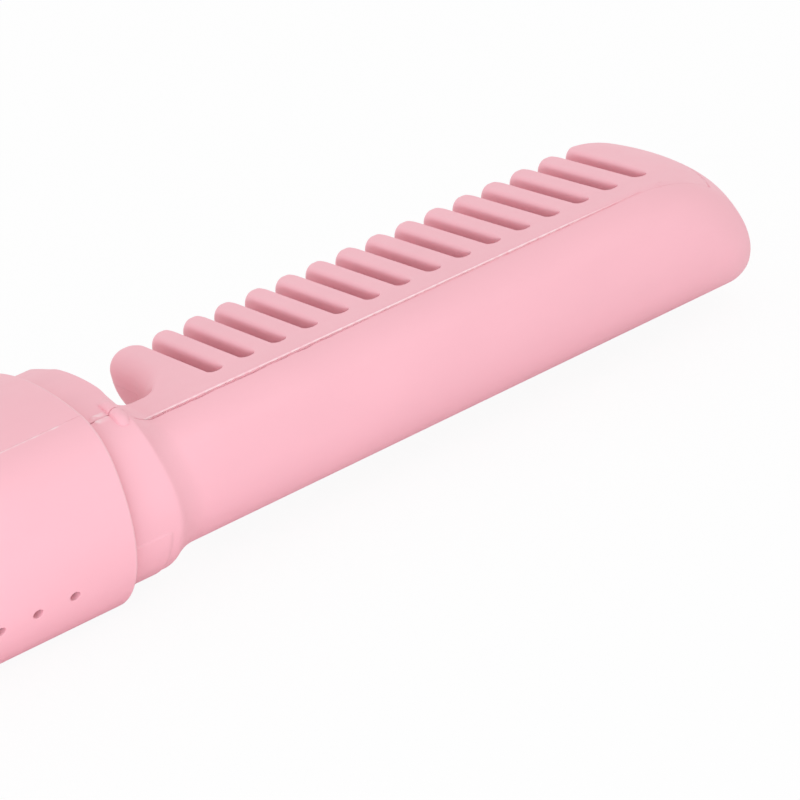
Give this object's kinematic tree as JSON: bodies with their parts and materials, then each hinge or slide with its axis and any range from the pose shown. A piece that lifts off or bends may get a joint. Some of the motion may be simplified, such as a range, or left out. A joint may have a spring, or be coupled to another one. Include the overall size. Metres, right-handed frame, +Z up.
{
  "type": "hair straightening comb",
  "caption": "Cordless heated straightening comb: round crowned handle with keys, display and charging port, and a slotted comb head with a heated plate inside.",
  "frame": {"origin": "middle of the object's length, under the handle's axis, on the surface that its flat foot rests on", "axes": "+X along the comb towards its tip, +Y towards the tips of the teeth, +Z up out of the comb's flat face"},
  "size_m": [0.216, 0.0386, 0.0317],
  "materials": {
    "shell_pink": "satin moulded pink plastic",
    "key_pink": "satin moulded plastic keys",
    "lens_smoke": "smoked clear display window",
    "plate_aluminium": "anodised",
    "heater_ceramic": "fired ceramic in insulating film",
    "mica": "pressed mica",
    "spring_steel": "spring steel",
    "white_plastic": "moulded",
    "black_plastic": "moulded",
    "screw_steel": "zinc plated",
    "cell_wrap": "shrunk film",
    "tab_nickel": "nickel strip",
    "foam": "closed cell foam",
    "board_green": "solder mask",
    "wire_red": "silicone insulated wire",
    "port_steel": "nickel plated"
  },
  "bodies": {
    "housing": {"comb_top_shell": "shell_pink", "comb_back_shell": "shell_pink", "comb_plate": "plate_aluminium", "ceramic_heater": "heater_ceramic", "mica_sheet": "mica", "heater_clip": "spring_steel", "thermal_fuse": "white_plastic", "temperature_sensor": "black_plastic", "heater_leads": "wire_red", "comb_screws": "screw_steel", "handle_cover": "shell_pink", "handle_body": "shell_pink", "tail_cap": "shell_pink", "tail_screws": "screw_steel", "battery_cell": "cell_wrap", "battery_cradle": "black_plastic", "battery_tabs": "tab_nickel", "battery_foam": "foam", "main_board": "board_green", "board_chips": "black_plastic", "display_module": "white_plastic", "display_lens": "lens_smoke", "tact_switches": "spring_steel", "board_screws": "screw_steel", "charge_board": "board_green", "usb_socket": "port_steel", "battery_leads": "wire_red", "charge_leads": "wire_red"},
    "power_button": {"power_key": "key_pink", "power_plunger": "black_plastic"},
    "heat_up_button": {"heat_up_key": "key_pink", "heat_up_plunger": "black_plastic"},
    "heat_down_button": {"heat_down_key": "key_pink", "heat_down_plunger": "black_plastic"}
  },
  "joints": [
    {"name": "power_press", "type": "slide", "parent": "housing", "child": "power_button", "axis": [0, 0, -1], "range_m": [0, 0.0005], "stiffness_N_per_m": 800, "springref_m": -0.0003},
    {"name": "heat_up_press", "type": "slide", "parent": "housing", "child": "heat_up_button", "axis": [0, 0, -1], "range_m": [0, 0.0005], "stiffness_N_per_m": 800, "springref_m": -0.0003},
    {"name": "heat_down_press", "type": "slide", "parent": "housing", "child": "heat_down_button", "axis": [0, 0, -1], "range_m": [0, 0.0005], "stiffness_N_per_m": 800, "springref_m": -0.0003}
  ]
}
